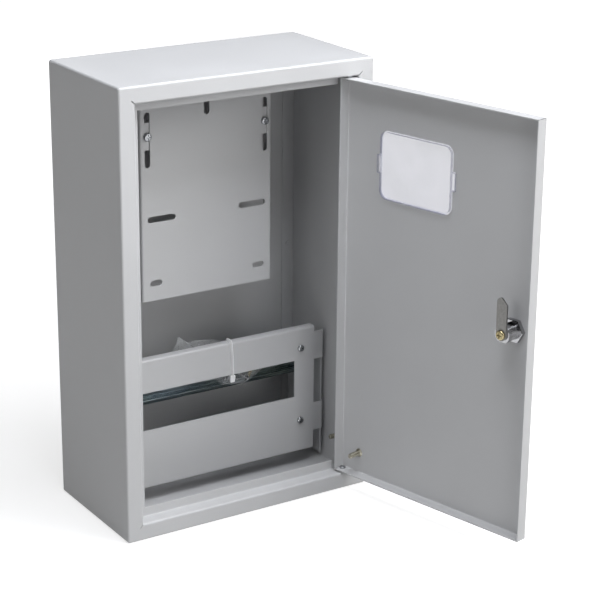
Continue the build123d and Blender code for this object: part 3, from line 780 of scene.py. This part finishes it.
tooth_inside = add_node(
    strap_tree, "GeometryNodeTransform", None,
    {"Geometry": tooth.outputs["Mesh"], "Translation": tooth_shift.outputs[0]},
)
print("one tooth:", len(strap_tree.nodes))

# %% Teeth along the strap
tooth_points = add_node(
    strap_tree, "GeometryNodeCurveToPoints", {"mode": "LENGTH"},
    {"Curve": upright.outputs[0], "Length": strap_in.outputs["Tooth pitch"]},
)
teeth = add_node(
    strap_tree, "GeometryNodeInstanceOnPoints", None,
    {
        "Points": tooth_points.outputs["Points"], "Instance": tooth_inside.outputs[0],
        "Rotation": tooth_points.outputs["Rotation"],
    },
)
toothed = add_join(strap_tree, band.outputs[0], teeth.outputs[0])
close_tree(strap_tree, strap_in, strap_out, toothed.outputs[0])
print("strap tree closed:", len(strap_tree.nodes))

# %% Lead the strap round the cover's band
# Millimetres: up the band's front, over its top and down behind it, to the head below.
strap_path = [
    (22.9, -81.6, -119.5), (22.7, -81.7, -112.0), (22.3, -82.0, -102.0), (21.8, -82.1, -92.0),
    (21.3, -81.9, -83.0), (21.1, -81.5, -78.2), (21.1, -80.3, -76.7), (21.2, -77.6, -76.3),
    (21.4, -73.8, -76.4), (21.6, -71.3, -76.9), (21.8, -70.2, -78.6), (22.0, -70.1, -84.0),
    (22.3, -71.5, -92.0), (22.6, -74.6, -103.0), (22.8, -77.4, -112.0), (22.9, -78.6, -118.0),
    (22.9, -79.2, -120.5),
]
loop = bpy.data.curves.new("tie_loop", "CURVE")
loop.dimensions = "3D"
loop.resolution_u = 10
spline = loop.splines.new("BEZIER")
spline.bezier_points.add(len(strap_path) - 1)
for knot, spot in zip(spline.bezier_points, strap_path):
    knot.co = Vector(spot) * MM
    knot.handle_left_type = "AUTO"
    knot.handle_right_type = "AUTO"
tie_strap = grown(
    "tie_strap", strap_tree,
    {
        "Width": 3.8 * MM, "Thickness": 1.0 * MM, "Tooth pitch": 1.1 * MM,
        "Tooth height": 0.3 * MM, "Finish": tie_nylon,
    },
    Matrix.Identity(4), loop,
)


# %% The tie's head
def tie_head(name, middle, lean):
    """A rounded block, narrower below, with a shallow window in front."""
    size = Vector((6.4, 5.0, 8.0)) * MM
    foot_width, foot_depth, front_share = 0.86, 0.9, 0.4
    window_margin, window_depth = 1.5 * MM, 0.5 * MM
    edge_radius, sharp_edge, fold_angle = 0.5 * MM, 0.6, math.radians(40)
    shape = bmesh.new()
    for vert in bmesh.ops.create_cube(shape, size=1.0)["verts"]:
        vert.co = Vector(vert.co[axis] * size[axis] for axis in range(3))
        if vert.co.z < 0:
            vert.co.x *= foot_width
            vert.co.y *= foot_depth
    front = [face for face in shape.faces if face.calc_center_median().y < -size.y * front_share]
    bmesh.ops.inset_individual(shape, faces=front, thickness=window_margin)
    for face in front:
        for vert in face.verts:
            vert.co.y += window_depth
    sharp = [edge for edge in shape.edges if edge.calc_face_angle(0.0) > sharp_edge]
    bmesh.ops.bevel(
        shape, geom=sharp, offset=edge_radius, segments=3, affect="EDGES", clamp_overlap=True
    )
    bmesh.ops.recalc_face_normals(shape, faces=shape.faces)
    mesh = finished_mesh(name, shape, tie_nylon)
    mesh.transform(Matrix.Translation(middle) @ Matrix.Rotation(lean, 4, "Y"))
    mesh.shade_smooth()
    mesh.set_sharp_from_angle(angle=fold_angle)
    print(name, "faces", len(mesh.polygons))
    return placed(name, mesh)


tie_head_piece = tie_head("tie_head", Vector((23.0, -80.4, -121.2)) * MM, math.radians(4))
for tie_piece in (tie_strap, tie_head_piece):
    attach(tie_piece, "box")
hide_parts("cable_tie")

# %% [markdown]
# ## Bag of fittings
# A clear film bag with screws and plugs hangs behind the cover, held by the tie. Film creases
# sharply instead of rounding, sags where the fittings lie and stands up where it is empty.
# A cloth run would give soft folds, so the bag is lofted: rings run from its middle to
# its rim, front and back sheets part over the fittings, and straight creases cross both.

# %% The bag's rim
# Millimetres across the box and above its base.
bag_corners = [
    (-45.0, 164.0), (-42.0, 173.0), (-37.0, 185.5), (-25.0, 175.5), (-17.0, 177.0), (-4.0, 175.5),
    (10.0, 173.0), (24.0, 167.0), (44.0, 156.0), (61.0, 147.0), (68.0, 134.0), (76.0, 126.0),
    (60.0, 117.0), (47.0, 109.5), (32.0, 114.0), (20.0, 116.0), (9.0, 125.0), (-12.0, 142.0),
    (-30.0, 150.0),
]
base_level = cad_low.z


def rim_points(corners, spacing, slack_depth):
    """Points along the outline, its corners kept and its edges slightly slack."""
    points = []
    for (x0, z0), (x1, z1) in zip(corners, corners[1:] + corners[:1]):
        steps = max(2, round(math.hypot(x1 - x0, z1 - z0) / spacing))
        for step in range(steps):
            share = step / steps
            slack = slack_depth * math.sin(share * math.pi)
            inward = Vector((z0 - z1, x1 - x0)).normalized() * slack
            points.append((x0 + (x1 - x0) * share - inward.x, z0 + (z1 - z0) * share - inward.y))
    return points


bag_rim = rim_points(bag_corners, spacing=3.0, slack_depth=0.5)
print("rim points:", len(bag_rim))


# %% Creases that film takes
def crease_set(seed, count):
    """Directions, spacings and shifts of straight folds."""
    closest, widest = 7.0, 26.0
    dice = random.Random(seed)
    folds = []
    for _ in range(count):
        turn = dice.uniform(0.0, math.pi)
        spacing = dice.uniform(closest, widest)
        folds.append((math.cos(turn), math.sin(turn), spacing, dice.uniform(0.0, 1.0)))
    return folds


def creased(x, z, folds):
    """Height of the creased film here, in millimetres, about zero on average."""
    bend, bend_scale, fade_scale = 3.0, 0.06, 0.04
    steepness, least_strength = 0.075, 0.4
    bend_x = x + bend * noise(Vector((x * bend_scale, z * bend_scale, 2.0)))
    bend_z = z + bend * noise(Vector((x * bend_scale, z * bend_scale, 7.0)))
    total = 0.0
    for run_x, run_z, spacing, shift in folds:
        phase = (bend_x * run_x + bend_z * run_z) / spacing + shift
        strength = 0.5 + 0.5 * noise(Vector((x * fade_scale, z * fade_scale, spacing)))
        zigzag = abs((phase % 1.0) * 2 - 1) - 0.5
        total += zigzag * spacing * steepness * (least_strength + strength)
    return total


print("creases ready")

# %% The bag's sizes, in millimetres
# The bag is thinnest left of empty_x, and over filling_run it reaches its full gap.
# The three fades are powers by which wandering, gap and creases die out towards the rim.
bag_middle_x, bag_middle_z = 16.0, 144.0
bag_low, bag_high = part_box("fittings_bag")
bag_middle_y = (bag_low.y + bag_high.y) / 2 / MM
bag_play = 0.2
bag_room = (bag_high.y - bag_low.y) / 2 / MM - bag_play
pole_gap, full_gap = 3.4, 4.4
empty_x, filling_run, empty_share = -40.0, 70.0, 0.3
shared_crease, own_crease = 0.8, 0.9
wander_reach, crumple = 0.9, 0.35
wander_fade, gap_fade, crease_fade = 4, 2.4, 6
front_folds = crease_set(seed=3, count=7)
back_folds = crease_set(seed=11, count=7)
shared_folds = crease_set(seed=21, count=5)
print("bag's middle and room in depth:", round(bag_middle_y, 2), round(bag_room, 2))


# %% One point and one sheet of the film
def film_point(shape, x, z, lift):
    return shape.verts.new((x * MM, (bag_middle_y + lift) * MM, base_level + z * MM))


def film_row(shape, rim, share, side, folds, dice):
    """One ring of a sheet, at this share of the way from the middle to the rim."""
    wander = wander_reach * (1 - share**wander_fade)
    row = []
    for rim_x, rim_z in rim:
        x = bag_middle_x + (rim_x - bag_middle_x) * share + dice.uniform(-wander, wander)
        z = bag_middle_z + (rim_z - bag_middle_z) * share + dice.uniform(-wander, wander)
        filled = min(1.0, max(0.0, (x - empty_x) / filling_run))
        fullness = empty_share + (1 - empty_share) * filled
        lift = creased(x, z, shared_folds) * shared_crease
        lift += side * full_gap * fullness * math.sqrt(1.0 - share**gap_fade)
        lift += creased(x, z, folds) * own_crease * (1 - share**crease_fade)
        lift += dice.uniform(-crumple, crumple)
        row.append(film_point(shape, x, z, max(-bag_room, min(bag_room, lift))))
    return row


print("film rows ready")


# %% Loft the film
def skin_sheet(shape, pole, rows, dice):
    """Triangles from the pole to the rim, each square split along a random diagonal."""
    count = len(rows[0])
    for step in range(count):
        after = (step + 1) % count
        shape.faces.new((pole, rows[0][step], rows[0][after]))
        for inner, outer in zip(rows, rows[1:]):
            quad = (inner[step], outer[step], outer[after], inner[after])
            turn = dice.randint(0, 1)
            shape.faces.new((quad[turn], quad[turn + 1], quad[(turn + 2) % 4]))
            shape.faces.new((quad[(turn + 2) % 4], quad[(turn + 3) % 4], quad[turn]))


def film_bag(name, rim, rings):
    """A front and a back sheet of film that share their rim."""
    crease_angle = math.radians(14)
    dice = random.Random(5)
    shape = bmesh.new()
    rim_verts = [
        film_point(shape, x, z, creased(x, z, shared_folds) * shared_crease) for x, z in rim
    ]
    for side, folds in ((-1.0, front_folds), (1.0, back_folds)):
        pole = film_point(shape, bag_middle_x, bag_middle_z, side * pole_gap)
        rows = [film_row(shape, rim, ring / rings, side, folds, dice) for ring in range(1, rings)]
        skin_sheet(shape, pole, rows + [rim_verts], dice)
    bmesh.ops.recalc_face_normals(shape, faces=shape.faces)
    mesh = finished_mesh(name, shape, bag_film)
    mesh.shade_smooth()
    mesh.set_sharp_from_angle(angle=crease_angle)
    print(name, "faces", len(mesh.polygons))
    return placed(name, mesh)


bag_piece = film_bag("bag_of_film", bag_rim, rings=13)
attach(bag_piece, "box")
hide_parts("fittings_bag")

# %% [markdown]
# ## What the bag holds
# Short screws and wall plugs lie at the bag's low end and glint through the film.
# The screws use the thread's tree again, each with a turned head, and the plugs are turned solids.

# %% Outlines of a screw's head and of a ribbed plug
# Both are pairs of radius and height in millimetres.
head_outline = (
    (0.0, -0.1), (3.4, -0.1), (3.6, -0.7), (3.3, -1.6), (2.2, -2.3), (1.1, -2.5), (0.9, -1.5),
    (0.0, -1.5),
)
plug_ribs, rib_pitch = 9, 2.6
plug_outline = [(0.0, 0.0), (3.2, 0.0), (3.2, 0.7)]
for rib in range(plug_ribs):
    plug_outline += [(2.3, 1.0 + rib_pitch * rib), (2.75, 2.2 + rib_pitch * rib)]
plug_outline += [(1.4, 25.5), (0.0, 25.5)]
print("plug outline points:", len(plug_outline))


# %% Screws and plugs in the bag
def bag_place(x, y, z, direction):
    """A place in the bag: millimetres across, in depth and above the box's base."""
    return along(Vector((x, y, base_level / MM + z)) * MM, direction)


def loose_screw(name, place, length, finish):
    """A screw of this many millimetres, whose thread makes one turn in each but the last."""
    head_allowance = 1.0
    shank_thread = {
        "Radius": 1.62 * MM, "Pitch": 1.0 * MM, "Turns": length - head_allowance,
        "Crest": 0.42 * MM, "Core": 1.6 * MM, "Flat": no_flat, "Finish": finish,
    }
    shank = grown(name + "_shank", thread_tree, shank_thread, place)
    head = turned_piece(name + "_head", head_outline, place, finish)
    return one_piece(name, [shank, head], finish)


def wall_plug(name, place):
    return turned_piece(name, plug_outline, place, plug_nylon, sides=20)


print("fittings ready")

# %% Lay them in the bag
screw_a_place = bag_place(24.0, -62.0, 122.5, (0.93, -0.05, -0.2))
screw_b_place = bag_place(52.0, -63.5, 118.5, (-0.75, 0.08, 0.55))
screw_c_place = bag_place(40.0, -61.0, 129.0, (0.9, 0.0, 0.3))
screw_d_place = bag_place(60.0, -62.5, 128.0, (-0.4, 0.05, -0.8))
plug_a_place = bag_place(26.0, -62.5, 133.0, (0.95, 0.02, -0.1))
plug_b_place = bag_place(34.0, -63.0, 141.0, (0.88, -0.03, -0.3))
fittings = [
    (loose_screw("bag_screw_a", screw_a_place, 18, bright_zinc), "bright_zinc"),
    (loose_screw("bag_screw_b", screw_b_place, 18, bright_zinc), "bright_zinc"),
    (loose_screw("bag_screw_c", screw_c_place, 16, yellow_zinc), "yellow_zinc"),
    (loose_screw("bag_screw_d", screw_d_place, 14, yellow_zinc), "yellow_zinc"),
    (wall_plug("bag_plug_a", plug_a_place), "tie_nylon"),
    (wall_plug("bag_plug_b", plug_b_place), "tie_nylon"),
]
for fitting, finish_name in fittings:
    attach(fitting, "box")
print("fittings in the bag:", len(fittings))

# %% [markdown]
# ## Floor and world
# The photograph's ground is pure white with hardly a shadow. More light would burn the box out,
# so the camera and clear plastic see a white that the floor and the world give off themselves,
# and metal mirrors that of the floor. The lamps and a mild world are all that lights the box.


# %% Paper that gives off white where it is seen
def floor_paper():
    """Grey paper whose own white grows with the distance, so the object's shadow stays near it."""
    near_white, far_white, near, far = 0.72, 1.0, 0.3, 1.4
    paper_grey = (0.42, 0.42, 0.42, 1.0)
    look = Finish("floor_paper")
    look.tree.nodes.remove(look.shader)
    ray = look.node("ShaderNodeLightPath", output="Is Camera Ray")
    mirrored_ray = look.node("ShaderNodeLightPath", output="Is Glossy Ray")
    through_ray = look.node("ShaderNodeLightPath", output="Is Transmission Ray")
    seen = ray + mirrored_ray + through_ray
    away = look.node(
        "ShaderNodeVectorMath", {"operation": "LENGTH"}, {0: look.place}, output="Value"
    )
    paper = look.node("ShaderNodeBsdfDiffuse", sockets={"Color": paper_grey})
    strength = seen * look.remap(away, near_white, far_white, near, far)
    glow = look.node("ShaderNodeEmission", sockets={"Color": WHITE, "Strength": strength})
    look.surface(look.node("ShaderNodeAddShader", sockets={0: paper, 1: glow}), "Material Output")
    return look.material


white_paper = floor_paper()
print("floor's look:", white_paper.name)


# %% Lay the floor
def pale_floor(reach, gap):
    """A square sheet that lies this gap below the box."""
    shape = bmesh.new()
    level = cad_low.z - gap
    corners = ((-reach, -reach), (reach, -reach), (reach, reach), (-reach, reach))
    shape.faces.new([shape.verts.new((x, y, level)) for x, y in corners])
    floor = placed("floor", finished_mesh("floor", shape, white_paper))
    floor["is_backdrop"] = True


pale_floor(reach=6, gap=0.3 * MM)
print("floor under", cad_low.z)


# %% White surroundings
def white_world(ambient):
    """A mild world that the camera and clear plastic see as white."""
    world = bpy.data.worlds.new("white_room")
    world.use_nodes = True
    net = NodeNet(world.node_tree)
    net.tree.nodes.remove(net.tree.nodes["Background"])
    ray = net.node("ShaderNodeLightPath", output="Is Camera Ray")
    through_ray = net.node("ShaderNodeLightPath", output="Is Transmission Ray")
    lit = net.node("ShaderNodeBackground", sockets={"Color": WHITE, "Strength": ambient})
    shown = net.node("ShaderNodeBackground", sockets={"Color": WHITE, "Strength": 1.0})
    mix = net.node("ShaderNodeMixShader", sockets={0: ray + through_ray, 1: lit, 2: shown})
    net.surface(mix, "World Output")
    scene.world = world


white_world(ambient=0.02)
print("world:", scene.world.name)

# %% [markdown]
# ## Lamps
# On the box the top and the front frame are brightest, and the left wall and the door's inside are
# mid grey. Light fades from top to bottom, so the main softboxes stand near: one above and two to
# the right in front. A low one in front reaches into the box, and weak ones lift the left wall and
# the back. Area lamps give the soft shadow edges that the photograph has inside the box.


# %% Softboxes
def softbox(name, place, target, side_length, power, colour=(1.0, 1.0, 1.0)):
    """A square lamp that faces the target."""
    lamp = bpy.data.lights.new(name, "AREA")
    lamp.shape = "RECTANGLE"
    lamp.size = lamp.size_y = side_length
    lamp.energy = power
    lamp.color = colour
    holder = bpy.data.objects.new(name, lamp)
    holder.location = place
    aim = Vector(target) - Vector(place)
    holder.rotation_mode = "QUATERNION"
    holder.rotation_quaternion = aim.to_track_quat("-Z", "Y")
    scene.collection.objects.link(holder)
    return holder


box_middle, back_middle = (0.0, -0.15, 0.0), (0.0, 0.0, 0.0)
cool_white = (0.93, 0.95, 1.0)
softboxes = [
    softbox("softbox_top", (0.0, -0.5, 1.2), box_middle, 0.8, 18.0, cool_white),
    softbox("softbox_near", (0.9, -1.2, 0.9), box_middle, 1.0, 12.5),
    softbox("softbox_right", (1.5, -1.7, 1.6), box_middle, 1.5, 17.5),
    softbox("softbox_low", (0.0, -2.5, 0.3), box_middle, 1.0, 9.0),
    softbox("softbox_left", (-2.4, -0.9, 0.8), box_middle, 1.0, 8.8),
    softbox("softbox_back", (0.5, 2.4, 0.2), back_middle, 1.0, 9.0),
]
print("softboxes:", len(softboxes))

# %% [markdown]
# ## Camera
# The camera's place and turn come from matching sixty edge points of the photograph with the
# box's real size. The picture was taken from the upper left with a long lens.

# %% Set the camera
picture_pixels, focal_pixels = 600, 1897.11
camera_place = Vector((-0.99611, -1.80918, 0.66760))
yaw, pitch, roll = 0.57064, 0.33308, -0.00945
ahead = Vector((
    math.sin(yaw) * math.cos(pitch), math.cos(yaw) * math.cos(pitch), -math.sin(pitch)
))
side = Vector((math.cos(yaw), -math.sin(yaw), 0.0))
down = ahead.cross(side)
right_edge = math.cos(roll) * side + math.sin(roll) * down
lower_edge = -math.sin(roll) * side + math.cos(roll) * down
camera_turn = Matrix((right_edge, -lower_edge, -ahead)).transposed().to_4x4()

lens = bpy.data.cameras.new("camera")
lens.sensor_width = 36.0
lens.lens = focal_pixels / picture_pixels * lens.sensor_width
lens.clip_start, lens.clip_end = 0.05, 60.0
camera = bpy.data.objects.new("camera", lens)
camera.matrix_world = Matrix.Translation(camera_place) @ camera_turn
scene.collection.objects.link(camera)
scene.camera = camera
scene.view_settings.view_transform = "Standard"
print("lens mm:", round(lens.lens, 1))

# %% [markdown]
# ## Measure and finish
# The dressed box has to be as large as the CAD box, so both are written down side by side.
# How far the dressed box reaches past the CAD box on each side is printed.

# %% Print how far the box grew, and finish
new_low, new_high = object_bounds()
growth = (*(cad_low - new_low), *(new_high - cad_high))
print("grown by", [round(value / MM, 2) for value in growth])
